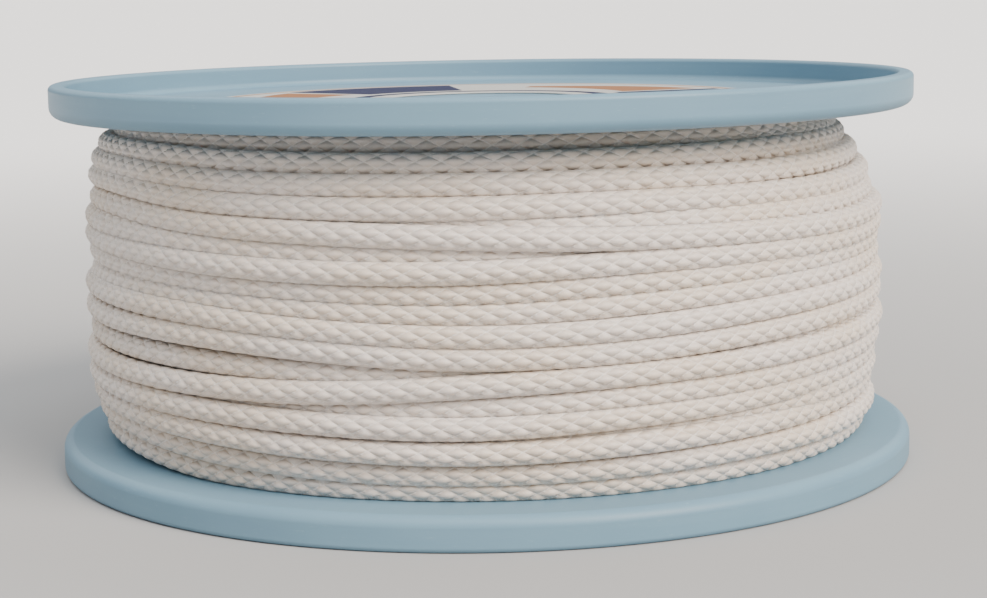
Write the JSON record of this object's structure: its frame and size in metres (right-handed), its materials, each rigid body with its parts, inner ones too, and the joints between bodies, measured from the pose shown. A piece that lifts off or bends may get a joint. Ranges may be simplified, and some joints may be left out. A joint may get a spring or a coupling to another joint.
{
  "type": "cord reel",
  "caption": "Reel of white braided cord wound between dished round plastic flanges, with a spindle bore and a printed paper ring on the upper face.",
  "frame": {"origin": "on the spindle axis, in the plane that the lower flange's rim stands on", "axes": "+Z along the spindle axis and up, from the lower flange to the upper flange; +X to the right and +Y away from the viewer in the picture"},
  "size_m": [0.105, 0.105, 0.0466],
  "materials": {
    "lower_flange": "pale blue moulded polystyrene, satin",
    "upper_flange": "pale blue moulded polystyrene, satin",
    "barrel": "pale blue extruded tube, satin",
    "upper_label": "printed coated paper",
    "cord_inner_layers": "braided filament cord, off-white",
    "cord_outer_layer": "braided filament cord, off-white"
  },
  "bodies": {
    "root": {"lower_flange": "lower_flange", "upper_flange": "upper_flange", "barrel": "barrel", "upper_label": "upper_label", "cord_inner_layers": "cord_inner_layers", "cord_outer_layer": "cord_outer_layer"}
  },
  "joints": []
}
